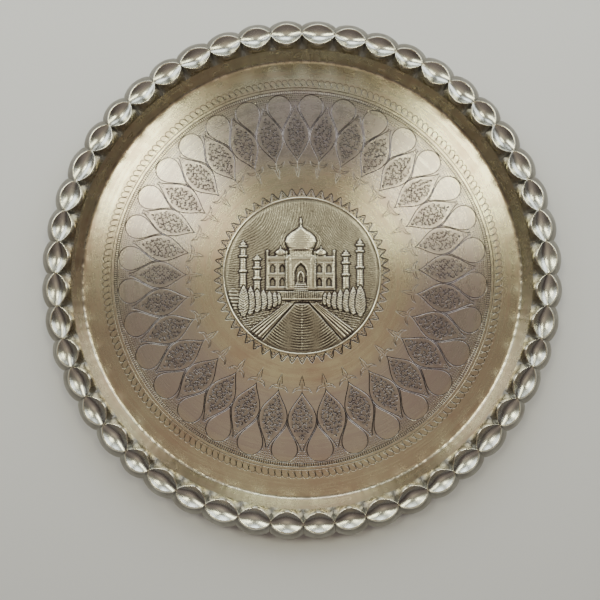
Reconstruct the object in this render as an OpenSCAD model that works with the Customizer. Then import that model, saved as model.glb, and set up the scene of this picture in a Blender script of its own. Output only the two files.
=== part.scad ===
// Round brass tray: a spun pan, a rim of pressed almond cups and a relief medallion.
// Origin: centre of the underside. +Z is up, and +Y is the top of the medallion's scene.

/* [Pan] */
// Overall diameter, over the widest points of the cups
tray_d = 580; // [500:10:640]
// Height of the rim's ridges above the surface that the tray lies on
tray_h = 28; // [26:1:34]
// Thickness of the brass sheet
sheet_t = 1; // [0.8:0.1:1.2]

/* [Rim] */
// Number of cups round the rim
cup_count = 48; // [40:2:56]
// Depth of a cup below its ridges
cup_depth = 6; // [4:0.5:7]
// Diameter of the stiffening wire under the outer edge
wire_d = 2.8; // [2:0.2:3]

/* [Medallion] */
// Diameter of the medallion, without its bezel
medallion_d = 176; // [150:2:190]
// Height of the main dome, which stands proudest, above the medallion's ground
relief_h = 3; // [2:0.5:4]
// Width of the half-round bezel
bezel_w = 3; // [2:0.5:4]

/* [Hidden] */

// Pan section: a flat floor, a cove and a straight leaning wall
outer_r = tray_d / 2;
floor_r = 0.853 * outer_r;
cove_r = 0.34 * tray_h;
cove_steps = 8;
wall_angle = 72;
wall_t = sheet_t / sin(wall_angle);
seam_z = 0.53 * tray_h;
seam_outer_r = floor_r + cove_r * sin(wall_angle)
    + (seam_z - cove_r * (1 - cos(wall_angle))) / tan(wall_angle);
seam_r = seam_outer_r - wall_t;

// Rim section: it changes along each cup from the waist, where two cups meet, to the cup's middle
waist_r = 0.932 * outer_r;
waist_z = tray_h - 1.5;
edge_z = 0.64 * tray_h;
ridge_gap = 0.5 * sheet_t;
WAIST_SECTION = [
    [seam_r, seam_z],
    [0.906 * outer_r, 0.7 * tray_h],
    [waist_r - 2 * ridge_gap, waist_z],
    [waist_r - ridge_gap, waist_z],
    [waist_r, waist_z],
    [waist_r + ridge_gap, waist_z],
    [waist_r + 2 * ridge_gap, waist_z],
    [0.978 * outer_r, edge_z]
];
MIDDLE_SECTION = [
    [seam_r, seam_z],
    [0.886 * outer_r, 0.78 * tray_h],
    [0.89 * outer_r, tray_h],
    [0.906 * outer_r, tray_h - 0.75 * cup_depth],
    [0.93 * outer_r, tray_h - cup_depth],
    [0.954 * outer_r, tray_h - 0.75 * cup_depth],
    [0.969 * outer_r, tray_h],
    [outer_r, edge_z]
];
steps_per_cup = 6;
wire_sides = 6;
solder_gap = 0.05;
wire_gap = 0.3;

// Medallion, whose scene is laid out in hundredths of its radius
ground_z = 2 * sheet_t;
scene_unit = medallion_d / 200;
root_depth = 0.4;
TREES = 7;

// Points along an arc about a centre
function arc(centre, r, from, to) = [
    for (i = [0 : cove_steps])
        let (a = from + (to - from) * i / cove_steps)
            centre + r * [cos(a), sin(a)]
];

function unit(v) = v / norm(v);

// The direction from a section's visible side into the sheet, for the stretch from a to b
function under(a, b) = let (d = unit(b - a)) [d[1], -d[0]];

// The section at a share along its cup: 0 and 1 are waists and 0.5 is the middle
function rim_section(share) =
    let (width = 4 * share * (1 - share))
        WAIST_SECTION + width * (MIDDLE_SECTION - WAIST_SECTION);

// The sheet's hidden side at point i of a section, mitred so that the thickness stays even
function under_point(section, i) =
    i == 0 ? section[0] + [wall_t, 0] :
    i == len(section) - 1 ? section[i] - [sheet_t, 0] :
    let (
        before = under(section[i - 1], section[i]),
        after = under(section[i], section[i + 1])
    )
        section[i] + sheet_t * (before + after) / (1 + before * after);

// The rim band's closed outline: along the visible side, and back along the hidden one
function rim_loop(share) =
    let (section = rim_section(share), last = len(section) - 1)
        concat(section, [for (i = [last : -1 : 0]) under_point(section, i)]);

// The wire's outline, held in the corner under the band's outer edge
function wire_loop(share) =
    let (
        section = rim_section(share),
        last = len(section) - 1,
        foot = under_point(section, last),
        head = under_point(section, last - 1),
        r = wire_d / 2,
        centre = foot + r * unit(head - foot) + (r + wire_gap) * under(head, foot)
    )
        [for (i = [0 : wire_sides - 1]) centre + r * [cos(-i * 360 / wire_sides), sin(-i * 360 / wire_sides)]];

// Puts a point of a section at its angle round the tray
function around(p, angle) = [p[0] * cos(angle), p[0] * sin(angle), p[1]];

// A closed ring whose outline is loops[i] at step i of each cup
module cupped_ring(loops) {
    sides = len(loops[0]);
    rings = cup_count * steps_per_cup;
    points = [
        for (k = [0 : rings - 1])
            for (p = loops[k % steps_per_cup])
                around(p, 360 * k / rings)
    ];
    faces = [
        for (k = [0 : rings - 1])
            for (i = [0 : sides - 1])
                let (
                    a = k * sides + i,
                    b = k * sides + (i + 1) % sides,
                    c = ((k + 1) % rings) * sides + (i + 1) % sides,
                    d = ((k + 1) % rings) * sides + i
                )
                    each [[a, c, b], [a, d, c]]
    ];
    polyhedron(points, faces);
}

module pan() {
    cove = [floor_r, cove_r];
    color("darkkhaki")
        rotate_extrude($fn = 180)
            polygon(concat(
                [[0, 0]],
                arc(cove, cove_r, -90, wall_angle - 90),
                [[seam_outer_r, seam_z], [seam_r, seam_z]],
                arc(cove, cove_r - sheet_t, wall_angle - 90, -90),
                [[0, sheet_t]]
            ));
}

module cup_rim() {
    color("khaki")
        cupped_ring([for (i = [0 : steps_per_cup - 1]) rim_loop(i / steps_per_cup)]);
}

module edge_wire() {
    color("goldenrod")
        cupped_ring([for (i = [0 : steps_per_cup - 1]) wire_loop(i / steps_per_cup)]);
}

// A part of the scene that stands up from the medallion's ground by a share of the full relief
module raised(share) {
    translate([0, 0, ground_z - root_depth])
        linear_extrude(height = root_depth + share * relief_h)
            scale(scene_unit)
                children();
}

// A rectangle given by its left, bottom, right and top
module slab(left, bottom, right, top) {
    translate([left, bottom])
        square([right - left, top - bottom]);
}

// An onion dome with its finial, standing on [x, y]
module onion(x, y, r, finial) {
    translate([x, y + 0.6 * r])
        circle(r, $fn = 48);
    translate([x, y])
        polygon([[-0.55 * r, 1.4 * r], [0, finial], [0.55 * r, 1.4 * r]]);
}

// A pointed arch with its sill on [x, y]
module pointed_arch(x, y, w, h) {
    translate([x, y])
        polygon([[-w / 2, 0], [w / 2, 0], [w / 2, 0.65 * h], [0, h], [-w / 2, 0.65 * h]]);
}

module minaret(x, bottom, top) {
    shaft_w = 4;
    height = top - bottom;
    translate([x, bottom]) {
        polygon([[-shaft_w / 2, 0], [shaft_w / 2, 0], [0.3 * shaft_w, 0.86 * height], [-0.3 * shaft_w, 0.86 * height]]);
        for (balcony = [0.3, 0.58, 0.86])
            slab(-0.65 * shaft_w, balcony * height, 0.65 * shaft_w, balcony * height + 2);
    }
    onion(x, bottom + 0.88 * height, 0.45 * shaft_w, 0.16 * height);
}

// Cypresses along one side, shrinking towards the building
module tree_row(side) {
    for (i = [0 : TREES - 1]) {
        near = 1 - i / (TREES - 1);
        height = 12 + 26 * near;
        translate([side * (30 + 44 * near), -30 - 22 * near])
            polygon([[-0.18 * height, 0], [0.18 * height, 0], [0.2 * height, 0.35 * height],
                [0, height], [-0.2 * height, 0.35 * height]]);
    }
}

module building() {
    raised(0.3)
        slab(-46, -31, 46, -18);
    raised(0.45)
        slab(-43.5, -19, 43.5, 21);
    raised(0.75)
        difference() {
            slab(-16.5, -19.5, 16.5, 24.6);
            pointed_arch(0, -15.4, 16.2, 32);
        }
    raised(0.6)
        slab(-13.5, 24, 13.5, 36);
    raised(1)
        onion(0, 34, 20, 38.5);
    for (side = [-1, 1]) {
        raised(0.55)
            onion(side * 26, 24, 6.5, 16);
        raised(0.4)
            minaret(side * 76.5, -14, 47);
        raised(0.5)
            minaret(side * 58, -18.5, 28);
    }
}

module garden() {
    raised(0.12)
        polygon([[-9, -36], [9, -36], [56, -92], [-56, -92]]);
    for (side = [-1, 1]) {
        raised(0.2)
            polygon([[side * 20, -36], [side * 26, -36], [side * 84, -76], [side * 68, -84]]);
        raised(0.35)
            tree_row(side);
    }
}

module medallion() {
    color("gold") {
        translate([0, 0, sheet_t])
            cylinder(h = ground_z - sheet_t, d = medallion_d, $fn = 180);
        intersection() {
            union() {
                building();
                garden();
            }
            translate([0, 0, sheet_t])
                cylinder(h = ground_z + relief_h, d = 0.97 * medallion_d, $fn = 180);
        }
    }
}

module medallion_bezel() {
    color("goldenrod")
        translate([0, 0, sheet_t])
            rotate_extrude($fn = 180)
                intersection() {
                    translate([(medallion_d + bezel_w) / 2 + solder_gap, 0])
                        circle(d = bezel_w, $fn = 32);
                    translate([medallion_d / 2, 0])
                        square([2 * bezel_w, bezel_w]);
                }
}

pan();
cup_rim();
edge_wire();
medallion();
medallion_bezel();
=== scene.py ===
"""The looks of the round brass tray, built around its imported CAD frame.

Shapes are worked out in millimetres and radians, and make_object() turns a finished mesh into metres.
"""
import math

import bmesh
import bpy
import numpy as np
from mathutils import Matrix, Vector
from mathutils.geometry import delaunay_2d_cdt


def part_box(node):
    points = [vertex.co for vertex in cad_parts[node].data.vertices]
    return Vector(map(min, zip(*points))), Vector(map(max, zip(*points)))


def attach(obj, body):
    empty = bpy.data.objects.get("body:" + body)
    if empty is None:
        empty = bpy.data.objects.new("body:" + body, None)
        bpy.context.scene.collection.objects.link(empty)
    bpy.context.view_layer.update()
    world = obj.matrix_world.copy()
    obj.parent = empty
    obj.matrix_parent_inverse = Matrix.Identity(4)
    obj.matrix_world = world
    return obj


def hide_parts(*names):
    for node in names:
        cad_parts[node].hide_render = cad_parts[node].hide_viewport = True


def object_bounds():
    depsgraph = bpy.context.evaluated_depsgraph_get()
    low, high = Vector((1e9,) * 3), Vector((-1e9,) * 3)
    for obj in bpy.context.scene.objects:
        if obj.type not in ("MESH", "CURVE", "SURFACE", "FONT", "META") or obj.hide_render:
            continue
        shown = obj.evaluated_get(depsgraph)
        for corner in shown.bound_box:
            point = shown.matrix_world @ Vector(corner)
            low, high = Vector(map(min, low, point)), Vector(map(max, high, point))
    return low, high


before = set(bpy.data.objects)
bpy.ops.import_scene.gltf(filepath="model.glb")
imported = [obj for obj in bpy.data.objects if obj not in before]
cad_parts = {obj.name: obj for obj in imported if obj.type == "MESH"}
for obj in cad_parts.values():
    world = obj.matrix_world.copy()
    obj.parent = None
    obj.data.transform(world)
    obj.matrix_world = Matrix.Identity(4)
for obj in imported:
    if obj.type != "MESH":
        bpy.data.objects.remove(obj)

MM = 0.001
TAU = math.tau
CAD_LOW, CAD_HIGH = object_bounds()
RANDOM = np.random.default_rng(48)

# The CAD's own sizes, read from the frame or repeated from part.scad
CUPS = 48
CUP_ANGLE = TAU / CUPS
CAD_OUTER_R = CAD_HIGH.x / MM / math.cos(CUP_ANGLE / 2)
TRAY_H = CAD_HIGH.z / MM
FLOOR_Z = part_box("medallion")[0].z / MM
SHEET = FLOOR_Z
WALL_ANGLE = math.radians(72)
WALL_T = SHEET / math.sin(WALL_ANGLE)
SEAM_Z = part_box("pan")[1].z / MM
SEAM_OUTER_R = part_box("pan")[1].x / MM
SEAM_R = SEAM_OUTER_R - WALL_T
FLOOR_R = 0.853 * CAD_OUTER_R
WAIST_R = 0.932 * CAD_OUTER_R
WAIST_Z = TRAY_H - 1.5
EDGE_Z = 0.64 * TRAY_H
CUP_DEPTH = 6.0
WIRE_R = 1.4
HEM_R = WIRE_R + 0.05 + SHEET
MEDALLION_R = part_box("medallion")[1].x / MM
RELIEF_LOW = FLOOR_Z + SHEET
RELIEF_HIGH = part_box("medallion")[1].z / MM
BEZEL_OUTER_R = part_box("medallion_bezel")[1].x / MM
BEZEL_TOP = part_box("medallion_bezel")[1].z / MM

# The rim is kept this far inside the CAD's outline, so that uneven cups don't cross it
RIM_MARGIN = 0.7
OUTER_R = CAD_OUTER_R - RIM_MARGIN


# ---- meshes

WELD_GAP = 0.004


def mix(a, b, share):
    return a + (b - a) * share


def smooth(x, low, high):
    """0 below low, 1 above high and an S-shaped rise between them."""
    t = np.clip((x - low) / (high - low), 0, 1)
    return t * t * (3 - 2 * t)


def make_object(name, points, faces, material, sharp=40, wear_and_painted_light=None):
    """A named object from points in millimetres. Edges that turn by more than sharp degrees stay crisp.

    Wear is -1 where the brass is polished bright and 1 where it is black with dirt. The same values also
    paint a highlight on the rim's ridges, and glints and dark facets along the pan's bend.
    """
    mesh = bpy.data.meshes.new(name)
    mesh.from_pydata((np.asarray(points) * MM).tolist(), [], faces)
    values = mesh.attributes.new("wear_and_painted_light", "FLOAT", "POINT")
    values.data.foreach_set("value", np.zeros(len(points)) if wear_and_painted_light is None else wear_and_painted_light)
    weld(mesh)
    mesh.shade_smooth()
    mesh.set_sharp_from_angle(angle=math.radians(sharp))
    mesh.materials.append(material)
    made = bpy.data.objects.new(name, mesh)
    bpy.context.scene.collection.objects.link(made)
    return made


def belt_faces(first, second):
    """Quads between two closed rows of point numbers. They are seen from the left of the first row."""
    return np.stack([first, np.roll(first, -1), np.roll(second, -1), second], axis=1).tolist()


def fan_faces(row, middle):
    """Triangles from a closed row of point numbers to the one in the middle."""
    return [(int(a), int(b), int(middle)) for a, b in zip(row, np.roll(row, -1))]


def ring_solid(loops):
    """Points and faces of a closed ring from an array [ring, side, xyz]."""
    rings, sides = loops.shape[:2]
    number = np.arange(rings * sides).reshape(rings, sides)
    faces = []
    for side in range(sides):
        faces += belt_faces(number[:, side], number[:, (side + 1) % sides])
    return loops.reshape(-1, 3), faces


def spin(radii, heights, angles):
    """Puts section points at their angles: radii and heights are [ring, side] arrays."""
    angles = angles[:, None]
    return np.stack([radii * np.cos(angles), radii * np.sin(angles), heights * np.ones_like(angles)], axis=2)


def weld(mesh):
    """Joins the points that fall together where two patches of a mesh meet."""
    work = bmesh.new()
    work.from_mesh(mesh)
    bmesh.ops.remove_doubles(work, verts=work.verts, dist=WELD_GAP * MM)
    work.to_mesh(mesh)
    work.free()


def bezier(controls, t):
    """The place at share t along a cubic curve with four control values."""
    weights = ((1 - t) ** 3, 3 * t * (1 - t) ** 2, 3 * t ** 2 * (1 - t), t ** 3)
    return sum(weight * control for weight, control in zip(weights, controls))


def through(points, steps):
    """A Catmull-Rom curve through a few points, with steps pieces in each stretch."""
    p = np.asarray(points, float)
    p = np.vstack([2 * p[0] - p[1], p, 2 * p[-1] - p[-2]])
    t = np.linspace(0, 1, steps, endpoint=False)[:, None]
    curve = []
    for a, b, c, d in zip(p, p[1:], p[2:], p[3:]):
        curve.append(b + t * (c - a) / 2 + t ** 2 * (a - 2.5 * b + 2 * c - d / 2)
                     + t ** 3 * (1.5 * (b - c) + (d - a) / 2))
    return np.vstack([*curve, p[-2]])


# ---- rim of cups

STEPS_PER_CUP = 20
SWELL = 3.0

# Where the stretches of the rim's section have points: shares of a stretch, or angles round a ridge
FLANK_STEPS = np.array([0, 0.16, 0.32, 0.48, 0.64, 0.8, 0.92])
INNER_RIDGE = np.radians([165, 138, 112, 86, 60])
OUTER_RIDGE = math.pi - INNER_RIDGE[::-1]
BOWL_STEPS = -np.cos(np.linspace(0, math.pi, 15))[1:-1]
FACE_STEPS = np.array([0.12, 0.4, 0.7])
HEM_STEPS = np.linspace(0, 1, 9)
HEM_END = math.radians(-150)


class Rim:
    """The shape of the rim at every ring round it. The cups are a little uneven, as hand work is."""

    def __init__(self):
        nodes = CUP_ANGLE * (np.arange(CUPS) + RANDOM.uniform(-0.05, 0.05, CUPS))
        nodes = np.append(nodes, nodes[0] + TAU)
        share = np.arange(CUPS * STEPS_PER_CUP) / STEPS_PER_CUP
        cup = share.astype(int)
        self.share = share - cup
        self.angles = mix(nodes[cup], nodes[cup + 1], self.share)
        # Width is 0 where two cups meet. Reach is how far a cup spreads, and lean moves its middle outwards
        self.width = np.sin(math.pi * self.share) ** 0.7
        reach = self.width * RANDOM.uniform(0.94, 1, CUPS)[cup]
        lean = self.width * RANDOM.uniform(-0.5, 0.5, CUPS)[cup]
        self.depth = CUP_DEPTH * self.width ** 1.6 * RANDOM.uniform(0.75, 0.9, CUPS)[cup]
        self.ridge_r = mix(0.45, 0.85, self.width)
        self.crest_z = mix(WAIST_Z, TRAY_H - 0.05, reach)
        self.inner_r = mix(WAIST_R - 0.5, 0.888 * CAD_OUTER_R, reach) + lean
        self.outer_r = mix(WAIST_R + 0.5, 0.965 * CAD_OUTER_R, reach) + lean
        self.wire_r = mix(0.976 * CAD_OUTER_R, OUTER_R, reach) - HEM_R

    def bulge(self, t):
        """How much the flank swells at height share t: a petal under each cup, pointing down."""
        half = mix(0.2, 0.42, t)
        return np.cos(math.pi / 2 * np.clip(np.abs(self.share - 0.5) / half, 0, 1)) ** 1.3

    def ridge(self, middle_r, angle, skin):
        """A point on the rounded ridge whose middle is at a radius."""
        r = self.ridge_r * (1 - 0.6 * skin)
        return middle_r + r * np.cos(angle), self.crest_z - 1.1 * skin - r * (1 - np.sin(angle))

    def flank(self, t, skin):
        """The side towards the well, at share t of the way from the seam up to the inner ridge."""
        foot = (SEAM_R + WALL_T * skin, SEAM_Z)
        head = self.ridge(self.inner_r, INNER_RIDGE[0], skin)
        swell = SWELL * self.bulge(t)
        rise = (mix(foot[0], head[0], 0.3) - 0.4 * swell, mix(foot[1], head[1], 0.33))
        neck = (mix(foot[0], head[0], 0.62) - swell, mix(foot[1], head[1], 0.72))
        return [bezier([point[axis] for point in (foot, rise, neck, head)], t) for axis in (0, 1)]

    def bowl(self, x, skin):
        """The hollow of the cup. X runs from -1 at the inner ridge to 1 at the outer one."""
        first_r, z = self.ridge(self.inner_r, INNER_RIDGE[-1], skin)
        last_r, _ = self.ridge(self.outer_r, OUTER_RIDGE[0], skin)
        return mix(first_r, last_r, (x + 1) / 2), z - self.depth * (1 - x * x) ** 1.1

    def hem_start(self):
        """The angle round the wire at which the outer face runs into the hem."""
        across = self.wire_r - self.outer_r
        down = EDGE_Z - self.crest_z
        return np.arctan2(down, across) + np.arcsin(HEM_R / np.hypot(across, down)) + math.pi / 2

    def hem(self, t, skin):
        """The sheet's edge, rolled round the wire."""
        angle = mix(self.hem_start(), HEM_END, t)
        r = HEM_R - SHEET * skin
        return self.wire_r + r * np.cos(angle), EDGE_Z + r * np.sin(angle)

    def face(self, t, skin):
        """The outer face, a little swollen, from the outer ridge down to the hem."""
        start = self.hem_start()
        top_r, top_z = self.ridge(self.outer_r, OUTER_RIDGE[-1], skin)
        end_r, end_z = self.hem(0, skin)
        swell = 2 * t * (1 - t)
        return mix(top_r, end_r, t) + swell * np.cos(start), mix(top_z, end_z, t) + swell * np.sin(start)

    def side(self, skin):
        """One side of the sheet, from the seam to the end of the hem: skin is 0 on the visible side."""
        points = [self.flank(t, skin) for t in FLANK_STEPS]
        points += [self.ridge(self.inner_r, angle, skin) for angle in INNER_RIDGE]
        points += [self.bowl(x, skin) for x in BOWL_STEPS]
        points += [self.ridge(self.outer_r, angle, skin) for angle in OUTER_RIDGE]
        points += [self.face(t, skin) for t in FACE_STEPS]
        points += [self.hem(t, skin) for t in HEM_STEPS]
        return points

    def loops(self):
        outline = self.side(0) + self.side(1)[::-1]
        radii, heights = (
            np.stack([np.broadcast_to(point[axis], self.angles.shape) for point in outline], axis=1)
            for axis in (0, 1))
        return spin(radii, heights, self.angles)

    def wear_and_painted_light(self):
        """The ridges are rubbed bright and carry a painted highlight along them. The rim is darker in the
        corners where the cups meet, and dirt lies on the hidden side.
        """
        corner = (1 - self.width) ** 2
        # The ridges take the rubbed colour, which also paints a highlight along them
        bright = np.full_like(corner, -0.7)
        rows = [0.05 + 0.3 * corner] * len(FLANK_STEPS)
        rows += [bright] * len(INNER_RIDGE)
        rows += [0.03 + 0.35 * corner] * len(BOWL_STEPS)
        rows += [bright] * len(OUTER_RIDGE)
        rows += [np.full_like(corner, 0.4)] * (len(FACE_STEPS) + len(HEM_STEPS))
        hidden = [np.full_like(corner, 0.35)] * len(rows)
        return np.stack(rows + hidden, axis=1).reshape(-1)


def make_rim(rim):
    points, faces = ring_solid(rim.loops())
    return make_object("scalloped_rim", points, faces, rim_brass(), sharp=60, wear_and_painted_light=rim.wear_and_painted_light())


def make_wire(rim):
    """The stiffening wire, drawn a little smaller than its hem."""
    turn = np.linspace(0, TAU, 12, endpoint=False)
    radii = rim.wire_r[:, None] + WIRE_R * np.cos(turn)
    heights = EDGE_Z + WIRE_R * np.sin(turn) + np.zeros_like(radii)
    points, faces = ring_solid(spin(radii, heights, rim.angles))
    return make_object("hem_wire", points, faces, wire_brass())


# ---- engraving

# The floor is engraved in equal sectors of a ring, and in teeth between it and the medallion
SECTORS = 32
HALF_SECTOR = math.pi / SECTORS
TEETH = 54
HALF_TOOTH = math.pi / TEETH
TOOTH_BAND = (84.0, 104.0)
PHASE = math.radians(6.8)

# Pieces along the edges of one sector or tooth. A tooth's outer edge meets a sector's inner one
OUTER_POINTS = 30
INNER_POINTS = 27
TOOTH_POINTS = 16
HUB_POINTS = 4
DOT_SIDES = 5

# The radii over which the engraving's drift fades in and out, and extra rows of points that take it up
DRIFT_IN = (106, 116)
DRIFT_OUT = (231, 246)
DRIFT_RINGS = (108, 112, 233, 237.5, 242)

# Widths of a fine and a bold cut, and how steep their banks are
FINE = 0.95
LINE = 1.2
GROOVE_SLOPE = 0.62
LINE_DEPTH = GROOVE_SLOPE * LINE / 2

# The ring's motifs, from the border of scales inwards, by the radii where each begins and ends
SCALE_R = 219.1
SCALES = 6
LADDER = (212.1, 215.6)
LADDER_TICKS = 17
STIPPLE_LOW = 189.0
BALLOON_TOP = 211.1
BALLOON_WIDE = 197.5
BALLOON_TIP = 168.2
BALLOON_HALF = math.radians(4.15)
LEAF_TOP = 205.0
LEAF_TOUCH = 162.0
LEAF_TIP = 133.0
FILL_TOP = 187.0
FILL_BOTTOM = 138.0
FILL_HALF = math.radians(4.3)
SPRAY_R = 128.2


def cut(line, width, pointed=(True, True)):
    """A graver's cut: its line and its half width at each point. A pointed end runs out to nothing."""
    line = np.asarray(line, float)
    half = np.full(len(line), width / 2)
    if pointed[0]:
        half[0] = 0
    if pointed[1]:
        half[-1] = 0
    return line, half


def dot(centre, r):
    """A punched dot is a cut that goes nowhere."""
    return np.array([centre]), np.array([r])


def polar(angle, r):
    """Flat points from their angles and radii."""
    return np.stack([r * np.cos(angle), r * np.sin(angle)], axis=-1)


def arc_points(r, first, last, count):
    """Flat points along an arc about the middle, with count pieces between them."""
    return polar(np.linspace(first, last, count + 1), np.full(count + 1, float(r)))


def bent(points, angle, r):
    """A motif drawn flat, as sideways and outward distances, bent round the tray at an angle and a radius."""
    points = np.asarray(points, float)
    return polar(angle + points[:, 0] / r, r + points[:, 1])


def mirrored(lines):
    """Cuts, and their mirror images across the sector's middle."""
    return lines + [(line * (1, -1), half) for line, half in lines]


def balloon_half(r):
    """Half the angle that a balloon takes at a radius: a round head and a tail that closes like a drop."""
    head = np.sqrt(np.clip(1 - ((r - BALLOON_WIDE) / (BALLOON_TOP - BALLOON_WIDE)) ** 2, 0, 1))
    tail = np.cos(math.pi / 2 * np.clip((BALLOON_WIDE - r) / (BALLOON_WIDE - BALLOON_TIP), 0, 1)) ** 1.5
    return BALLOON_HALF * np.where(r > BALLOON_WIDE, head, tail)


def leaf_half(r):
    """Half the angle of a leaf's outline. The leaf has a drawn-out neck and touches its neighbours."""
    neck = np.cos(math.pi / 2 * np.clip((r - LEAF_TOUCH) / (LEAF_TOP - LEAF_TOUCH), 0, 1)) ** 2.2
    point = np.cos(math.pi / 2 * np.clip((LEAF_TOUCH - r) / (LEAF_TOUCH - LEAF_TIP), 0, 1)) ** 1.2
    return (HALF_SECTOR - 0.5 / r) * np.where(r > LEAF_TOUCH, neck, point)


def fill_half(r):
    """Half the angle of the scrollwork inside a leaf."""
    end = np.where(r > LEAF_TOUCH, FILL_TOP, FILL_BOTTOM)
    return FILL_HALF * (1 - np.clip(np.abs(r - LEAF_TOUCH) / np.abs(end - LEAF_TOUCH), 0, 1) ** 1.8)


def scale_cuts():
    """Leaning drops: each runs up from the inner line, round its head and back under the next."""
    scale = through([(-4.1, 0), (-4.1, 3), (-3.2, 6.4), (-1.4, 8.9), (1.1, 9.7), (3.1, 8.3), (3.3, 5.8),
                     (2.1, 3.5), (0, 1.6)], 2)
    pitch = 2 * HALF_SECTOR / SCALES
    cuts = []
    for i in range(-1, SCALES + 1):
        cuts.append(cut(bent(scale, pitch * (i + 0.5) - HALF_SECTOR, SCALE_R), FINE))
    return cuts


def ladder_cuts():
    """Two lines with ticks between them, which leave a row of small square beads."""
    cuts = []
    for r in (SCALE_R, *LADDER[::-1]):
        cuts.append(cut(arc_points(r, -HALF_SECTOR, HALF_SECTOR, 16), FINE, (False, False)))
    for i in range(LADDER_TICKS):
        angle = HALF_SECTOR * ((2 * i + 1) / LADDER_TICKS - 1)
        cuts.append(cut(polar(np.full(2, angle), np.array(LADDER)), FINE * 1.2, (False, False)))
    return cuts


def balloon_cuts():
    """The halves of the two balloons that this sector shares with its neighbours."""
    r = mix(BALLOON_TIP, BALLOON_TOP, np.sin(np.linspace(0, math.pi / 2, 18)) ** 1.3)
    return mirrored([cut(polar(HALF_SECTOR - balloon_half(r), r), LINE, (False, False))])


def leaf_cuts():
    """The outline of the pointed leaf in the sector's middle."""
    r = np.concatenate([np.linspace(LEAF_TOP - 5, LEAF_TOUCH, 16), np.linspace(LEAF_TOUCH, LEAF_TIP, 11)[1:]])
    return mirrored([cut(polar(leaf_half(r), r), LINE, (True, False))])


def curl(size, turn, start):
    """A hooked spiral stroke, winding in from its tail."""
    t = np.linspace(0, 1, 7)
    angle = start + turn * t
    r = size * (1 - 0.3 * t)
    return np.stack([r * np.cos(angle), r * np.sin(angle)], axis=1)


def scroll_cuts(random):
    """The scrollwork in a leaf: rows of curls on both sides of the middle, with a seed in each curl."""
    cuts = []
    pitch = 4.5
    for r in np.arange(FILL_BOTTOM + 2.5, FILL_TOP - 1, pitch):
        room = float(fill_half(np.array(r))) * r
        count = max(1, round(2 * room / pitch))
        size = min(2.0, room / count)
        for column in range(count):
            centre = np.array([(column - (count - 1) / 2) * pitch, 0]) + random.uniform(-0.3, 0.3, 2)
            way = 1 if centre[0] > 0 else -1
            line = curl(size, random.uniform(4.6, 5.4) * way, random.uniform(0, TAU)) + centre
            cuts.append(cut(bent(line, 0, r), LINE))
            cuts.append(dot(bent([centre], 0, r)[0], 0.5))
    return cuts


def stipple_cuts(random):
    """Small punched dots in the spandrels between the balloons, and down the neck of the leaf."""
    cuts = []
    pitch = 2.45
    for r in np.arange(LADDER[0] - 2, STIPPLE_LOW, -pitch):
        room = (HALF_SECTOR - float(balloon_half(np.array(r)))) * r - 1.6
        count = int(2 * room / pitch)
        for i in range(count + 1):
            sideways = (i - count / 2) * pitch
            if abs(abs(sideways) - float(leaf_half(np.array(r))) * r) < 1.1 and r < LEAF_TOP - 4:
                continue
            place = bent([(sideways + random.uniform(-0.25, 0.25), random.uniform(-0.25, 0.25))], 0, r)[0]
            cuts.append(dot(place, 0.8))
    return cuts


def spray_cuts():
    """The three-petalled spray under a leaf's tip: two thin curved wings and a longer pointed tail."""
    wing_top = through([(0, 2.0), (3.6, 1.4), (7.4, 2.6), (10.6, 6.2)], 2)
    wing_low = through([(1.9, -1.4), (4.8, -1.2), (8.2, 1.0), (10.6, 6.2)], 2)
    tail = through([(1.9, -1.4), (2.6, -4.5), (1.4, -9.5), (0, -15)], 2)
    vein = [(0, 4.5), (0, -2), (0, -10)]
    cuts = [cut(bent(line, 0, SPRAY_R), 0.9) for line in (wing_top, wing_low, tail)]
    return mirrored(cuts) + [cut(bent(vein, 0, SPRAY_R), FINE)]


def sector_cuts(random):
    """Every cut in one sector of the ring, drawn about the X axis."""
    return (scale_cuts() + ladder_cuts() + balloon_cuts() + leaf_cuts() + scroll_cuts(random)
            + stipple_cuts(random) + spray_cuts())


def tooth_cuts():
    """One pointed tooth of the border round the medallion: two chevrons and a wedge at the foot."""
    foot = BEZEL_OUTER_R + 0.7
    foot_half = math.radians(3.33) * foot
    outer = through([(foot_half, 0), (3.0, 3.4), (1.7, 6.4), (0, 8.8)], 3)
    inner = through([(3.0, 0), (2.2, 2.4), (1.1, 4.4), (0, 5.8)], 2)
    cuts = mirrored([
        cut(bent(outer, 0, foot), 1.25 * LINE, (False, False)),
        cut(bent(inner, 0, foot), FINE, (True, False)),
    ])
    return cuts + [dot(bent([(0, 1.6)], 0, foot)[0], 1.3)]


def cut_mesh(cuts, points, edges):
    """Adds each cut's middle and both banks to the points and edges of a flat drawing."""
    for line, half in cuts:
        if len(line) == 1:
            turn = np.linspace(0, TAU, DOT_SIDES, endpoint=False)
            banks = line[0] + half[0] * np.stack([np.cos(turn), np.sin(turn)], axis=1)
            first = len(points)
            points.extend([*banks, line[0]])
            edges.extend((first + i, first + (i + 1) % DOT_SIDES) for i in range(DOT_SIDES))
            continue
        along = np.gradient(line, axis=0)
        normal = np.stack([-along[:, 1], along[:, 0]], axis=1) / np.linalg.norm(along, axis=1)[:, None]
        middle = np.arange(len(points), len(points) + len(line))
        points.extend(line)
        edges.extend(zip(middle, middle[1:]))
        for side in (-1, 1):
            row = middle.copy()
            wide = np.flatnonzero(half > 0)
            row[wide] = np.arange(len(points), len(points) + len(wide))
            points.extend((line + side * normal * half[:, None])[wide])
            edges.extend(zip(row, row[1:]))


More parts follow.
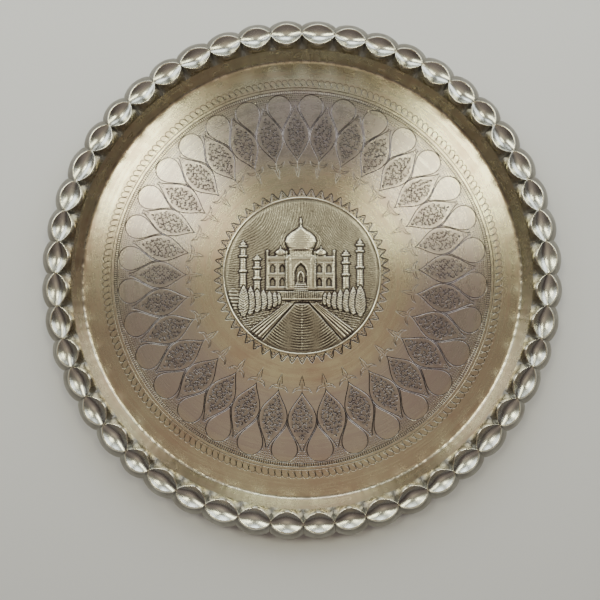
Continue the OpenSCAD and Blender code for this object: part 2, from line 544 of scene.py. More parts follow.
def groove_depth(points, cuts):
    """How deep the cuts go at each point. Every groove is a V whose banks have the same slope.

    The points are taken in batches, which keeps the arrays small.
    """
    starts, ends, near, far = [], [], [], []
    for line, half in cuts:
        last = slice(None) if len(line) == 1 else slice(1, None)
        first = slice(None) if len(line) == 1 else slice(None, -1)
        starts.append(line[first])
        ends.append(line[last])
        near.append(half[first])
        far.append(half[last])
    a, b = np.vstack(starts), np.vstack(ends)
    near, far = np.concatenate(near), np.concatenate(far)
    along = b - a
    length = np.maximum((along ** 2).sum(1), 1e-12)
    depth = np.zeros(len(points))
    batch = 400
    for first in range(0, len(points), batch):
        p = points[first:first + batch, None]
        t = np.clip(((p - a) * along).sum(2) / length, 0, 1)
        away = np.linalg.norm(p - a - t[..., None] * along, axis=2)
        depth[first:first + batch] = np.max(mix(near, far, t) - away, axis=1)
    return GROOVE_SLOPE * np.maximum(depth, 0)


def engraved_sector(cuts, half_angle, radii, counts, rings=()):
    """The flat points, depths and triangles of one sector, with extra rows of points on the rings."""
    inner_r, outer_r = radii
    points = [*arc_points(inner_r, -half_angle, half_angle, counts[0])]
    points += [*polar(np.full(len(rings), half_angle), np.array(rings, float))]
    points += [*arc_points(outer_r, half_angle, -half_angle, counts[1])]
    points += [*polar(np.full(len(rings), -half_angle), np.array(rings[::-1], float))]
    count = len(points)
    edges = [(i, (i + 1) % count) for i in range(count)]
    for r in rings:
        points += [*arc_points(r, -half_angle, half_angle, counts[1] // 2)[1:-1]]
    cut_mesh(cuts, points, edges)
    vectors = [Vector(point) for point in points]
    pairs = [(int(a), int(b)) for a, b in edges]
    flat, _, faces, *_ = delaunay_2d_cdt(vectors, pairs, [], 0, 1e-5)
    flat = np.array([tuple(point) for point in flat])
    faces = np.array([face for face in faces if len(face) == 3])
    # The triangulation covers the convex hull, so what lies beyond the sector's edges is dropped
    centre = flat[faces].mean(axis=1)
    angle = np.arctan2(centre[:, 1], centre[:, 0])
    r = np.hypot(centre[:, 0], centre[:, 1])
    step = half_angle / counts[0]
    kept = (np.abs(angle) < half_angle) & (r > inner_r * math.cos(step)) & (r < outer_r)
    faces = faces[kept]
    a, b, c = (flat[faces[:, i]] for i in range(3))
    area = (b - a)[:, 0] * (c - a)[:, 1] - (b - a)[:, 1] * (c - a)[:, 0]
    faces[area < 0] = faces[area < 0][:, ::-1]
    return flat, groove_depth(flat, cuts), faces


def turned(flat, angle):
    """Flat points, turned about the middle."""
    c, s = math.cos(angle), math.sin(angle)
    return flat @ np.array([[c, s], [-s, c]])


def region_tint(flat):
    """A darker tint where the ground is worked all over: the scrollwork and the stippled spandrels."""
    r = np.hypot(flat[:, 0], flat[:, 1])
    angle = np.abs(np.arctan2(flat[:, 1], flat[:, 0]))
    scrolls = (angle < fill_half(r) - 0.2 / r) & (r > FILL_BOTTOM) & (r < FILL_TOP)
    spandrel = (angle < HALF_SECTOR - balloon_half(r) - 0.3 / r) & (r > FILL_TOP) & (r < LADDER[0])
    return 0.2 * scrolls + 0.08 * spandrel


def hand_drawn(x, y):
    """Moves the engraving as a hand-set layout drifts. The move dies out at both edges of the ring."""
    r = np.hypot(x, y)
    angle = np.arctan2(y, x)
    fade = smooth(r, *DRIFT_IN) * (1 - smooth(r, *DRIFT_OUT))
    angle = angle + fade * (math.radians(1.6) * np.cos(angle - math.radians(40))
                            + math.radians(0.25) * np.sin(5 * angle + 1))
    r = r + fade * (0.7 * np.sin(3 * angle + 2) + 0.4 * np.sin(7 * angle))
    return r * np.cos(angle), r * np.sin(angle)


def engraved_patches():
    """Each sector and tooth in place: its flat points, depths, wear and triangles."""
    ring = (TOOTH_BAND[1], FLOOR_R)
    for i in range(SECTORS):
        flat, depth, triangles = engraved_sector(
            sector_cuts(RANDOM), HALF_SECTOR, ring, (INNER_POINTS, OUTER_POINTS), DRIFT_RINGS)
        tint = np.maximum(region_tint(flat), depth / LINE_DEPTH)
        yield turned(flat, PHASE + HALF_SECTOR * (2 * i + 1)), depth, tint, triangles
    flat, depth, triangles = engraved_sector(tooth_cuts(), HALF_TOOTH, TOOTH_BAND, (HUB_POINTS, TOOTH_POINTS))
    for i in range(TEETH):
        yield turned(flat, PHASE + HALF_TOOTH * (2 * i + 1)), depth, depth / LINE_DEPTH, triangles


def engraved_floor():
    """Points, wear and triangles of the floor's visible side, from under the medallion to the cove."""
    points, tints, faces = [], [], []
    used = 0
    for flat, depth, tint, triangles in engraved_patches():
        points.append(np.column_stack([flat, FLOOR_Z - depth]))
        tints.append(tint)
        faces.extend((triangles + used).tolist())
        used += len(flat)
    points = np.vstack(points)
    points[:, 0], points[:, 1] = hand_drawn(points[:, 0], points[:, 1])
    return points, np.minimum(np.concatenate(tints), 1), faces


# ---- pan

MARKS = 160
BEND_R = 5.0
BEND_STEPS = np.linspace(0, 1, 8)
RINGS = SECTORS * OUTER_POINTS


def pan_section():
    """Each row outside the engraved floor, up the wall, over and back underneath.

    A row is its radius, height, dirt, and its share of the hammer marks along the bend, whose colour paints
    glints there.
    """
    centre_r, centre_z = FLOOR_R, FLOOR_Z + BEND_R
    to_seam = (SEAM_R - centre_r, SEAM_Z - centre_z)
    end = math.atan2(to_seam[1], to_seam[0]) - math.acos(BEND_R / math.hypot(*to_seam))
    turn = mix(-math.pi / 2, end, BEND_STEPS)
    rows = []
    for angle, t in zip(turn, BEND_STEPS):
        rows.append((centre_r + BEND_R * math.cos(angle), centre_z + BEND_R * math.sin(angle), 0.05,
                     math.sin(math.pi * t) ** 0.5))
    wall_r, wall_z = rows[-1][:2]
    for t in (0.3, 0.6, 1):
        rows.append((mix(wall_r, SEAM_R, t), mix(wall_z, SEAM_Z, t), 0.05, 0.5 * (1 - t)))
    rows.append((SEAM_OUTER_R, SEAM_Z, 0.5, 0))
    back = BEND_R + SHEET
    for angle in turn[::-2]:
        rows.append((centre_r + back * math.cos(angle), centre_z + back * math.sin(angle), 0.35, 0))
    for r in (FLOOR_R, 150, 60):
        rows.append((r, 0, 0.3, 0))
    return rows


def hammer_marks():
    """How deep each mark is at every ring round the bend, and how much its colour is painted brighter or
    darker there, as painted glints along the bend's highlight.
    """
    mark = MARKS * np.arange(RINGS) / RINGS
    bow = 4 * (mark % 1) * (1 - mark % 1)
    dent = bow * RANDOM.uniform(0.05, 0.5, MARKS)[mark.astype(int)]
    # Each mark's colour is painted brighter or darker at random, which breaks the bend's highlight into
    # painted glints
    painted_glints = bow * RANDOM.uniform(-0.6, 0.2, MARKS)[mark.astype(int)] + 0.06
    return dent, painted_glints


def level_points(angles, r, z):
    """A row of points at one height."""
    return np.column_stack([polar(angles, r), np.full(len(angles), z)])


def make_pan():
    points, tints, faces = engraved_floor()
    dent, painted_glints = hammer_marks()
    angles = PHASE + TAU * np.arange(RINGS) / RINGS
    hub_angles = PHASE + TAU * np.arange(HUB_POINTS * TEETH) / (HUB_POINTS * TEETH)
    section = pan_section()
    blocks, wear_and_painted_light = [points], [tints]
    for r, z, dirt, dented in section:
        blocks.append(level_points(angles, r + dented * dent, z))
        # Along the bend the marks' share paints glints and dark facets into the colour
        wear_and_painted_light.append(dirt + dented * painted_glints)
    blocks += [[(0, 0, 0)], level_points(hub_angles, TOOTH_BAND[0], FLOOR_Z), [(0, 0, FLOOR_Z)]]
    wear_and_painted_light += [[0.3], np.zeros(len(hub_angles) + 1)]

    rows = len(points) + np.arange(len(section) * RINGS).reshape(-1, RINGS)
    for first, second in zip(rows, rows[1:]):
        faces += belt_faces(first, second)
    bottom = rows[-1, -1] + 1
    hub = bottom + 1 + np.arange(len(hub_angles))
    faces += fan_faces(rows[-1], bottom)
    faces += fan_faces(hub, hub[-1] + 1)
    points, wear_and_painted_light = np.vstack(blocks), np.concatenate(wear_and_painted_light)
    return make_object("engraved_pan", points, faces, pan_brass(), sharp=14, wear_and_painted_light=wear_and_painted_light)


# ---- medallion

# The scene is laid out in shares of the medallion's radius: u to the right and v up
RELIEF_STEPS = 300
BUILDING_U = -0.015
TREES = 7


def inside(distance, soft):
    """1 within a shape and 0 outside it, from the distance to its edge, which is negative inside."""
    return smooth(-distance, -soft / 2, soft / 2)


def slab(u, v, left, bottom, right, top):
    """Distance to a rectangle."""
    return np.maximum(np.maximum(left - u, u - right), np.maximum(bottom - v, v - top))


def tapered(u, v, centre, levels, halves):
    """Distance to an upright shape whose half width at each level is given."""
    half = np.interp(v, levels, halves, left=-1, right=-1)
    return np.abs(u - centre) - half


def rounded(u, v, centre, levels, halves):
    """How full an upright round shape stands: 1 along its middle and 0 at its edge."""
    half = np.maximum(np.interp(v, levels, halves), 1e-3)
    return np.sqrt(np.clip(1 - ((u - centre) / half) ** 2, 0, 1))


def arch(u, v, centre, sill, half, top):
    """Distance to a pointed arch that stands on its sill."""
    levels = [sill, mix(sill, top, 0.6), mix(sill, top, 0.85), top]
    return tapered(u, v, centre, levels, [half, half, 0.62 * half, 0])


def place(height, distance, value, soft=0.012):
    """The heights with a shape laid over them at its own height."""
    return mix(height, value, inside(distance, soft))


def layered(height, layers):
    """The heights with shapes laid over them in turn. A layer is a shape's distance and its own height."""
    for distance, value in layers:
        height = place(height, distance, value)
    return height


def onion_dome(height, u, v, centre, base, half, top, level, lift, bands=0):
    """An onion dome, with its finial, that stands up from a level by a lift."""
    rise = (top - base) / 0.3
    levels = [*(base + rise * np.array([0, 0.035, 0.1, 0.165, 0.225, 0.265])), top]
    halves = half * np.array([0.68, 0.88, 1, 0.91, 0.63, 0.3, 0.06])
    full = rounded(u, v, centre, levels, halves)
    ribs = bands * np.sin(v * TAU / 0.028) * full
    height = place(height, tapered(u, v, centre, levels, halves), level + lift * full + ribs)
    spike_top = top + 0.4 * (top - base)
    spike = tapered(u, v, centre, [top - 0.02, mix(top, spike_top, 0.3), mix(top, spike_top, 0.4), spike_top],
                    [0.05 * half, 0.02 * half, 0.06 * half, 0.01 * half])
    return place(height, spike - 0.004, level + 0.4 * lift)


def minaret(height, u, v, centre, bottom, top, balconies):
    """A tapering round tower with ringed balconies and a small cupola."""
    head = mix(bottom, top, 0.86)
    levels, halves = [bottom, head], [0.043, 0.031]
    full = rounded(u, v, centre, levels, halves)
    courses = 0.03 * np.sin(v * TAU / 0.03)
    height = place(height, tapered(u, v, centre, levels, halves), 0.15 + 0.45 * full + courses * full)
    ring = np.sqrt(np.clip(1 - ((u - centre) / 0.054) ** 2, 0, 1))
    for level in (*balconies, head):
        height = place(height, slab(u, v, centre - 0.052, level - 0.012, centre + 0.052, level + 0.014),
                       0.25 + 0.5 * ring)
        height = place(height, slab(u, v, centre - 0.045, level - 0.026, centre + 0.045, level - 0.014), 0.12)
    return onion_dome(height, u, v, centre, head + 0.012, 0.034, mix(head, top, 0.75), 0.3, 0.35)


def cypress(height, u, v, centre, bottom, top, half, leaves):
    """A tree of leaning sprays, outlined by a narrow dark edge."""
    levels = np.linspace(bottom, top, 7)
    halves = half * np.array([0.35, 0.85, 1, 0.95, 0.8, 0.5, 0])
    full = rounded(u, v, centre, levels, halves)
    edge = tapered(u, v, centre, levels, halves)
    sprays = 0.09 * np.sin((v - 0.8 * np.abs(u - centre)) * TAU / 0.032) * full
    height = place(height, edge - 0.008, 0.05)
    return place(height, edge, 0.18 + 0.34 * full + sprays + leaves)


def sky(u, v):
    """Swept strokes: arcs about the two upper corners, coarse on the left and fine on the right."""
    sway = 0.012 * np.sin(9 * u + 4 * v) + 0.006 * np.sin(31 * u - 17 * v)
    left = np.sin((np.hypot(u + 0.94, v - 0.95) + sway) * TAU / 0.031)
    right = np.sin((np.hypot(u - 0.94, v - 0.95) + sway) * TAU / 0.024)
    return mix(0.022 * left, 0.018 * right, smooth(u, 0.02, 0.2))


def facade(height, u, v):
    """The walls: two wings with niches, a taller portal with its arch, and the terrace in front."""
    c = BUILDING_U
    height = layered(height, [
        (slab(u, v, c - 0.43, -0.19, c + 0.43, 0.225), 0.46),
        (slab(u, v, c - 0.43, 0.2, c + 0.43, 0.245), 0.54),
    ])
    for side in (-1, 1):
        for column in (0.24, 0.365):
            x = c + side * column
            for sill in (-0.145, 0.03):
                surround = slab(u, v, x - 0.052, sill - 0.02, x + 0.052, sill + 0.13)
                niche = arch(u, v, x, sill, 0.036, sill + 0.115)
                height = layered(height, [(np.abs(surround) - 0.006, 0.55), (niche, 0.22)])
        corner = tapered(u, v, c + side * 0.435, [-0.19, 0.25, 0.3, 0.315, 0.33],
                         [0.013, 0.01, 0.012, 0.016, 0.003])
        pillar = tapered(u, v, c + side * 0.185, [-0.19, 0.26, 0.3, 0.32], [0.012, 0.01, 0.014, 0])
        height = layered(height, [(corner, 0.66), (pillar, 0.82)])
    height = layered(height, [
        (slab(u, v, c - 0.172, -0.19, c + 0.172, 0.262), 0.64),
        (np.abs(slab(u, v, c - 0.13, -0.16, c + 0.13, 0.215)) - 0.008, 0.74),
        (arch(u, v, c, -0.15, 0.098, 0.185), 0.7),
    ])
    height = place(height, arch(u, v, c, -0.15, 0.08, 0.158), 0.16, 0.01)
    height = place(height, arch(u, v, c, -0.13, 0.045, 0.06), 0.34)
    height = place(height, arch(u, v, c, -0.13, 0.028, 0.035), 0.14, 0.01)
    steps = tapered(u, v, c, [-0.2, -0.095], [0.1, 0.055])
    return place(height, steps, 0.55 + 0.12 * np.sin(v * TAU / 0.026))


def roofs(height, u, v):
    """A small dome on each wing, and the drum and main dome inside two thin outlines."""
    c = BUILDING_U
    for side in (-1, 1):
        x = c + side * 0.262
        height = place(height, slab(u, v, x - 0.06, 0.24, x + 0.06, 0.262), 0.5)
        height = onion_dome(height, u, v, x, 0.262, 0.066, 0.345, 0.42, 0.34)
    height = layered(height, [
        (slab(u, v, c - 0.145, 0.25, c + 0.145, 0.34), 0.6 + 0.03 * np.sin(u * TAU / 0.03)),
        (slab(u, v, c - 0.155, 0.325, c + 0.155, 0.345), 0.7),
    ])
    for gap in (0.035, 0.06):
        levels = [0.34, 0.37, 0.434, 0.5, 0.56, 0.6, 0.66]
        halves = np.array([0.15, 0.178, 0.2, 0.18, 0.125, 0.06, 0]) + gap
        line = np.abs(tapered(u, v, c, levels, halves)) - 0.006
        height = place(height, np.where((v > 0.35) & (v < 0.64), line, 1), 0.2)
    return onion_dome(height, u, v, c, 0.335, 0.2, 0.63, 0.3, 0.66, bands=0.03)


def garden(height, u, v, leaves):
    """The long pool, its paths and the lawns, drawn towards one vanishing point under the portal."""
    below = v < -0.3
    reach = np.abs(u)
    pool = 0.088 + 0.89 * (-0.357 - v)
    path = 0.205 + 1.36 * (-0.374 - v)
    height = np.where(below, 0.1 + 0.05 * np.sin((v + 0.2 * reach) * TAU / 0.03) + leaves, height)
    across = (reach - pool) / np.maximum(path - pool, 1e-3)
    stripes = 0.24 + 0.1 * np.cos(across * TAU * 4)
    height = np.where((v < -0.365) & (across > 0) & (across < 1), stripes, height)
    rim = np.abs(across - 1) * (path - pool) - 0.008
    height = np.where(v < -0.37, place(height, rim, 0.42), height)
    ripples = 0.1 + 0.06 * np.sin(np.hypot(u, v + 0.3) * TAU / 0.034) * np.cos(u * 9)
    in_pool = (v < -0.357) & (reach < pool)
    height = np.where(in_pool, ripples, height)
    shade = np.where(v < -0.35, np.abs(reach - pool) - 0.011, 1)
    beads = np.where((v < -0.38) & (np.sin(v * TAU / 0.022) > 0), np.abs(u) - 0.006, 1)
    c = BUILDING_U
    return layered(height, [
        (shade, -0.22),
        (slab(u, v, -0.1, -0.37, 0.09, -0.35), -0.22),
        (beads, 0.24),
        (slab(u, v, c - 0.3, -0.3, c + 0.3, -0.2), 0.34 + 0.08 * np.sin(u * TAU / 0.024)),
        (slab(u, v, c - 0.29, -0.322, c + 0.29, -0.3), 0.44),
        (slab(u, v, c - 0.43, -0.205, c + 0.43, -0.192), 0.05),
    ])


def relief_heights(u, v):
    """The scene in shares of the full relief: a domed building behind a garden with a long pool."""
    grain = RANDOM.normal(0, 1, u.shape)
    grain = (grain + np.roll(grain, 1, 0) + np.roll(grain, 1, 1) + np.roll(grain, (1, 1), (0, 1))) / 2
    leaves = 0.035 * grain
    height = 0.12 + sky(u, v)
    height = garden(height, u, v, leaves)
    for centre, bottom, top, balconies in (
            (-0.765, -0.15, 0.46, (0.05, 0.245)), (-0.582, -0.2, 0.27, (-0.045, 0.095)),
            (0.57, -0.17, 0.33, (0.005, 0.16)), (0.752, -0.14, 0.48, (0.1, 0.31))):
        height = minaret(height, u, v, centre, bottom, top, balconies)
    height = facade(height, u, v)
    height = roofs(height, u, v)
    for side in (-1, 1):
        for i in reversed(range(TREES)):
            near = 1 - i / (TREES - 1)
            centre = side * mix(0.3, 0.755, near ** 1.2)
            height = cypress(height, u, v, centre, mix(-0.39, -0.53, near), mix(-0.22, -0.12, near ** 1.5),
                             mix(0.034, 0.072, near), leaves)
    bush = np.hypot((u + 0.89) / 0.075, (v + 0.31) / 0.14) - 1
    height = place(height, bush * 0.08, 0.26 + 0.08 * np.sin(v * TAU / 0.045))
    height = height + 0.012 * grain
    edge = smooth(np.hypot(u, v), 0.955, 1)
    return mix(height, 0.02, edge)


def disc_grid(steps):
    """Points of a square grid moved on to a disc of radius 1, so that its edge is a true circle."""
    a, b = np.meshgrid(*[np.linspace(-1, 1, steps)] * 2, indexing="ij")
    wide = np.abs(a) > np.abs(b)
    r = np.where(wide, a, b)
    small = np.where(wide, b, a)
    angle = math.pi / 4 * small / np.where(r == 0, 1, r)
    angle = np.where(wide, angle, math.pi / 2 - angle)
    return r * np.cos(angle), r * np.sin(angle)


def blurred(values, reach):
    """Each value's mean over the square of values around it."""
    for axis in (0, 1):
        values = sum(np.roll(values, step, axis) for step in range(-reach, reach + 1))
    return values / (2 * reach + 1) ** 2


def relief_wear(height):
    """Dirt lies in the low ground and the hollows. What stands out is rubbed bright."""
    hollow = np.clip((blurred(height, 3) - height) * 6, 0, 0.7)
    open_side = np.clip((height - blurred(height, 5)) * 2, 0, 0.3)
    return np.clip(0.42 - 0.6 * height + hollow - open_side, -0.5, 1)


def make_medallion():
    u, v = disc_grid(RELIEF_STEPS)
    height = relief_heights(u, v)
    lift = (RELIEF_HIGH - RELIEF_LOW) * height
    z = np.minimum(RELIEF_LOW + lift, RELIEF_HIGH - 0.02)
    top = np.column_stack([u.ravel() * MEDALLION_R, v.ravel() * MEDALLION_R, z.ravel()])
    number = np.arange(RELIEF_STEPS ** 2).reshape(RELIEF_STEPS, RELIEF_STEPS)
    faces = np.stack([number[:-1, :-1], number[1:, :-1], number[1:, 1:], number[:-1, 1:]], axis=2)
    faces = faces.reshape(-1, 4).tolist()
    edge = np.concatenate([number[:-1, 0], number[-1, :-1], number[:0:-1, -1], number[0, :0:-1]])
    foot = top[edge].copy()
    foot[:, 2] = FLOOR_Z
    first = len(top)
    row = np.arange(first, first + len(edge))
    faces += [face[::-1] for face in belt_faces(edge, row)]
    faces += fan_faces(row[::-1], first + len(edge))
    points = np.vstack([top, foot, [(0, 0, FLOOR_Z)]])
    wear_and_painted_light = np.append(relief_wear(height).ravel(), np.full(len(edge) + 1, 0.6))
    return make_object("relief_disc", points, faces, relief_brass(), sharp=70, wear_and_painted_light=wear_and_painted_light)


def make_bezel():
    """The half-round ring round the medallion, a little uneven where it was soldered down."""
    rings = 360
    angles = np.linspace(0, TAU, rings, endpoint=False)
    bow = np.linspace(math.pi, 0, 11)
    half = (BEZEL_OUTER_R - MEDALLION_R) / 2 - 0.02
    wobble = 0.08 * np.sin(9 * angles + 1) + 0.05 * np.sin(23 * angles)
    radii = (MEDALLION_R + half + 0.03) + half * np.cos(bow) + np.zeros((rings, 1))
    heights = FLOOR_Z + (BEZEL_TOP - FLOOR_Z - 0.1 + wobble[:, None]) * np.sin(bow)
    points, faces = ring_solid(spin(radii, heights, angles)[:, ::-1])
    return make_object("bezel_ring", points, faces, bezel_brass(), sharp=60)


# ---- materials

# The colour of rubbed brass. It is also the painted highlight on the rim's ridges and the painted glints
# along the bend
RUBBED_AND_HIGHLIGHT_COLOUR = (0.86, 0.80, 0.60, 1)


def add_node(tree, kind, inputs=(), **settings):
    """A shader node. Each input is a value or the socket that feeds it."""
    made = tree.nodes.new(kind)
    for key, value in settings.items():
        setattr(made, key, value)
    for key, value in dict(inputs).items():
        if isinstance(value, bpy.types.NodeSocket):
            tree.links.new(value, made.inputs[key])
        else:
            made.inputs[key].default_value = value
    return made


def noise(tree, place_on, scale, detail, roughness=0.55):
    inputs = {"Vector": place_on, "Scale": scale, "Detail": detail, "Roughness": roughness}
    return add_node(tree, "ShaderNodeTexNoise", inputs).outputs["Fac"]


def ranged(tree, value, low, high, to_low, to_high):
    inputs = {"Value": value, "From Min": low, "From Max": high, "To Min": to_low, "To Max": to_high}
    return add_node(tree, "ShaderNodeMapRange", inputs).outputs["Result"]


def blend_colours(tree, share, a, b):
    """A mix of two colours. The node's colour sockets have no names of their own, so they are numbered."""
    return add_node(tree, "ShaderNodeMix", {0: share, 6: a, 7: b}, data_type="RGBA").outputs[2]


def times(tree, a, b):
    return add_node(tree, "ShaderNodeMath", {0: a, 1: b}, operation="MULTIPLY").outputs[0]


def total(tree, value, *others):
    for other in others:
        value = add_node(tree, "ShaderNodeMath", {0: value, 1: other}, operation="ADD").outputs[0]
    return value


def vector_node(tree, operation, inputs):
    return add_node(tree, "ShaderNodeVectorMath", inputs, operation=operation)


def flat_place(tree, place_on):
    """The place seen from above, and its distance from the tray's middle."""
    flat = vector_node(tree, "MULTIPLY", {0: place_on, 1: (1, 1, 0)}).outputs[0]
    return flat, vector_node(tree, "LENGTH", {0: flat}).outputs["Value"]


def spun_place(tree, place_on, stretch, fineness):
    """Coordinates in which noise draws marks that run round the tray's middle."""
    flat, r = flat_place(tree, place_on)
    way = vector_node(tree, "NORMALIZE", {0: flat}).outputs[0]
    around = vector_node(tree, "SCALE", {0: way, "Scale": stretch}).outputs[0]
    outward = add_node(tree, "ShaderNodeCombineXYZ", {"Z": times(tree, r, fineness)}).outputs[0]
    return vector_node(tree, "ADD", {0: around, 1: outward}).outputs[0]


def bloomed(tree, place_on, metal, inner, outer, bloom):
    """Metal with a violet-grey bloom on the engraved ring, where polishing skims over the cuts."""
    _, r = flat_place(tree, place_on)
    share = times(tree, ranged(tree, r, inner - 0.01, inner + 0.014, 0, 0.6),
                  ranged(tree, r, outer - 0.014, outer + 0.006, 1, 0))
    return blend_colours(tree, share, metal, bloom)


def aged_colour(tree, place_on, mottle, streaks, light, dark, spun, bloom):
    """The metal's own colour: dark cloudy patches on light metal, and streaks that run round."""
    clouds = noise(tree, place_on, 9, 5)
    share = total(tree, ranged(tree, clouds, 0.35, 0.65, 0, 0.6), ranged(tree, mottle, 0.3, 0.7, -0.1, 0.25),
                  ranged(tree, streaks, 0.3, 0.7, -spun, spun))
    metal = blend_colours(tree, share, light, dark)
    return bloomed(tree, place_on, metal, *bloom) if bloom else metal


def worn_and_lit_colour(tree, worn_and_lit, mottle, metal, dirt):
    """Bright where the piece is rubbed and where highlights are painted, and dirty where polishing doesn't
    reach. The bend's dark hammer facets are painted shade.
    """
    shine = ranged(tree, worn_and_lit, 0, -1, 0, 1)
    grime_and_painted_shade = times(tree, ranged(tree, worn_and_lit, 0, 0.6, 0, 1), ranged(tree, mottle, 0.3, 0.7, 0.8, 1.1))
    return blend_colours(tree, shine, blend_colours(tree, grime_and_painted_shade, metal, dirt), RUBBED_AND_HIGHLIGHT_COLOUR)


def worn_roughness(tree, worn_and_lit, mottle, streaks, roughness):
    """A little uneven, glossier where the piece is rubbed and duller in the dirt."""
    return total(tree, ranged(tree, mottle, 0.3, 0.7, roughness - 0.02, roughness + 0.03),
                 ranged(tree, streaks, 0.3, 0.7, -0.02, 0.03), ranged(tree, worn_and_lit, -1, 1, -0.06, 0.12))


def marked_surface(tree, place_on, mottle, streaks, spun, hammered, bump):
    """The normal of a surface with spun lines, planishing dents and fine pitting."""
    dents = noise(tree, place_on, 190, 1, 0.4)
    pits = noise(tree, place_on, 900, 2)
    height = total(tree, times(tree, mottle, 0.5), times(tree, dents, hammered), times(tree, streaks, spun),
                   times(tree, pits, 0.08))
    inputs = {"Height": height, "Strength": bump, "Distance": 0.0012}
    return add_node(tree, "ShaderNodeBump", inputs).outputs["Normal"]


def brass(name, light, dark, dirt, roughness, bump, spun=0, hammered=0, anisotropy=0, bloom=None):
    """Aged brass. Spun and hammered say how strong those marks are, and anisotropy runs round the tray."""
    material = bpy.data.materials.new(name)
    material.use_nodes = True
    tree = material.node_tree
    shader = tree.nodes["Principled BSDF"]
    place_on = add_node(tree, "ShaderNodeTexCoord").outputs["Object"]
    worn_and_lit = add_node(tree, "ShaderNodeAttribute", attribute_name="wear_and_painted_light").outputs["Fac"]
    mottle = noise(tree, place_on, 75, 6, 0.65)
    streaks = noise(tree, spun_place(tree, place_on, 2.5, 260), 1, 5, 0.6)
    metal = aged_colour(tree, place_on, mottle, streaks, light, dark, spun, bloom)
    for socket, value in (
            ("Base Color", worn_and_lit_colour(tree, worn_and_lit, mottle, metal, dirt)),
            ("Roughness", worn_roughness(tree, worn_and_lit, mottle, streaks, roughness)),
            ("Normal", marked_surface(tree, place_on, mottle, streaks, spun, hammered, bump))):
        tree.links.new(value, shader.inputs[socket])
    if anisotropy:
        tangent = add_node(tree, "ShaderNodeTangent", direction_type="RADIAL", axis="Z")
        tree.links.new(tangent.outputs["Tangent"], shader.inputs["Tangent"])
        shader.inputs["Anisotropic"].default_value = anisotropy
        shader.inputs["Anisotropic Rotation"].default_value = 0.25
    shader.inputs["Metallic"].default_value = 1
    return material


def pan_brass():
    return brass("Aged pan brass", light=(0.57, 0.535, 0.37, 1), dark=(0.42, 0.30, 0.225, 1),
                 dirt=(0.045, 0.035, 0.042, 1), roughness=0.235, bump=0.13, spun=0.3, anisotropy=0.55,
                 bloom=(SPRAY_R * MM, LADDER[1] * MM, (0.38, 0.335, 0.345, 1)))


def rim_brass():
    # The rim's light colour is pale and nearly silver. It paints the silver-blue sheen that the lights give
    # the cups, in place of the brass's yellower colour
    return brass("Rim brass with painted silver sheen", light=(0.67, 0.675, 0.61, 1), dark=(0.48, 0.46, 0.385, 1),
                 dirt=(0.09, 0.065, 0.05, 1), roughness=0.22, bump=0.11, hammered=0.8)


def wire_brass():
    return brass("Dull wire brass", light=(0.50, 0.42, 0.27, 1), dark=(0.33, 0.26, 0.16, 1),
                 dirt=(0.12, 0.09, 0.06, 1), roughness=0.42, bump=0.3)


def relief_brass():
    return brass("Struck relief brass", light=(0.64, 0.615, 0.48, 1), dark=(0.47, 0.41, 0.30, 1),
                 dirt=(0.05, 0.038, 0.036, 1), roughness=0.27, bump=0.3)


def bezel_brass():
    # The bezel's colour is much lighter than the other brasses. It is rubbed metal, lightened further as a
    # painted highlight along the ring
    return brass("Rubbed bezel brass with painted highlight", light=(0.80, 0.75, 0.58, 1), dark=(0.56, 0.50, 0.36, 1),
                 dirt=(0.14, 0.10, 0.07, 1), roughness=0.24, bump=0.12)


# ---- studio

CAMERA_DISTANCE = 0.62
CAMERA_TILT = math.radians(2.8)
CAMERA_AIM = Vector((-0.0022, -0.0281, FLOOR_Z * MM))
# How wide a strip of the tray's floor the camera takes in
VIEW_WIDTH = 0.6845


def make_floor():
    """A pale plane, a hair below the tray so that the two don't touch."""
    half, level = 2500, -0.4
    corners = [(x, y, level) for x, y in ((-half, -half), (half, -half), (half, half), (-half, half))]
    material = bpy.data.materials.new("Pale floor")
    material.use_nodes = True
    shader = material.node_tree.nodes["Principled BSDF"]
    shader.inputs["Base Color"].default_value = (0.72, 0.71, 0.69, 1)
    shader.inputs["Roughness"].default_value = 0.85
    return make_object("studio_floor", corners, [(0, 1, 2, 3)], material)


def softbox(name, position, size, power, colour):
    """A square area light, in metres and watts, that faces the tray."""
    light = bpy.data.lights.new(name, "AREA")
    light.size = size
    light.energy = power
    light.color = colour
    lamp = bpy.data.objects.new(name, light)
    lamp.location = position
    lamp.visible_camera = False
    lamp.rotation_euler = (-Vector(position)).to_track_quat("-Z", "Y").to_euler()
    bpy.context.scene.collection.objects.link(lamp)


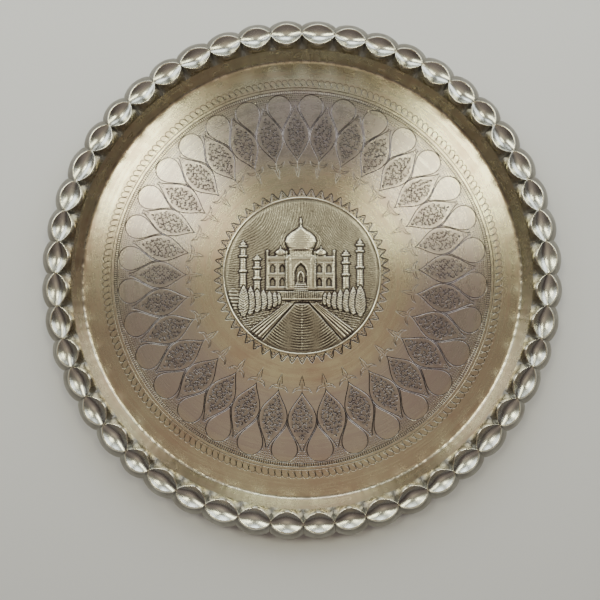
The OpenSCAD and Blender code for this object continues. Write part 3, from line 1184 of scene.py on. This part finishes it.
def make_lights():
    softbox("Low left", (-1.62, 1.18, 1.05), 1.3, 21, (0.88, 0.95, 1))
    softbox("Low right", (1.62, 1.18, 1.05), 1.3, 21, (0.88, 0.95, 1))
    softbox("High left", (-0.71, 0.62, 1.55), 0.46, 8.5, (1, 1, 0.76))
    softbox("High right", (0.68, 0.62, 1.6), 0.46, 7.7, (1, 0.99, 0.72))
    softbox("Middle", (0, 1.3, 1.25), 0.6, 0.8, (0.82, 0.91, 1))
    softbox("Window", (0, 2.0, 1.15), 1.2, 19, (0.9, 0.98, 1))


def make_world():
    """A dim room: a soft ceiling light behind the camera, its warmer middle, and a pale horizon."""
    world = bpy.data.worlds.new("Studio")
    bpy.context.scene.world = world
    world.use_nodes = True
    tree = world.node_tree
    way = add_node(tree, "ShaderNodeTexCoord").outputs["Generated"]
    colour = (0.05, 0.034, 0.034, 1)
    for centre, edge, full, glow in (
            ((0, -0.30, 0.954), 0.72, 0.95, (0.31, 0.26, 0.245, 1)),
            ((0, -0.12, 0.993), 0.95, 0.995, (0.72, 0.60, 0.46, 1)),
            ((0, 0, 1), 0.5, 0.02, (0.36, 0.35, 0.34, 1))):
        reach = add_node(tree, "ShaderNodeVectorMath", {0: way, 1: centre}, operation="DOT_PRODUCT")
        colour = blend_colours(tree, ranged(tree, reach.outputs["Value"], edge, full, 0, 1), colour, glow)
    tree.links.new(colour, tree.nodes["Background"].inputs["Color"])


def make_camera():
    """The camera looks down almost square on to the floor of the tray, from close by."""
    camera = bpy.data.cameras.new("Camera")
    camera.sensor_fit = "HORIZONTAL"
    camera.sensor_width = 36
    camera.lens = 36 * CAMERA_DISTANCE / VIEW_WIDTH
    holder = bpy.data.objects.new("Camera", camera)
    back = Vector((0, -math.sin(CAMERA_TILT), math.cos(CAMERA_TILT)))
    holder.location = CAMERA_AIM + CAMERA_DISTANCE * back
    holder.rotation_euler = back.to_track_quat("Z", "Y").to_euler()
    bpy.context.scene.collection.objects.link(holder)
    bpy.context.scene.camera = holder


# ---- assembly

def fit(piece, node):
    """Rides a finished piece on the tray's one body, in place of its CAD node."""
    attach(piece, "root")
    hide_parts(node)


make_camera()
make_lights()
make_world()
make_floor()

cup_band = Rim()
fit(make_rim(cup_band), "cup_rim")
fit(make_wire(cup_band), "edge_wire")
fit(make_pan(), "pan")
fit(make_medallion(), "medallion")
fit(make_bezel(), "medallion_bezel")
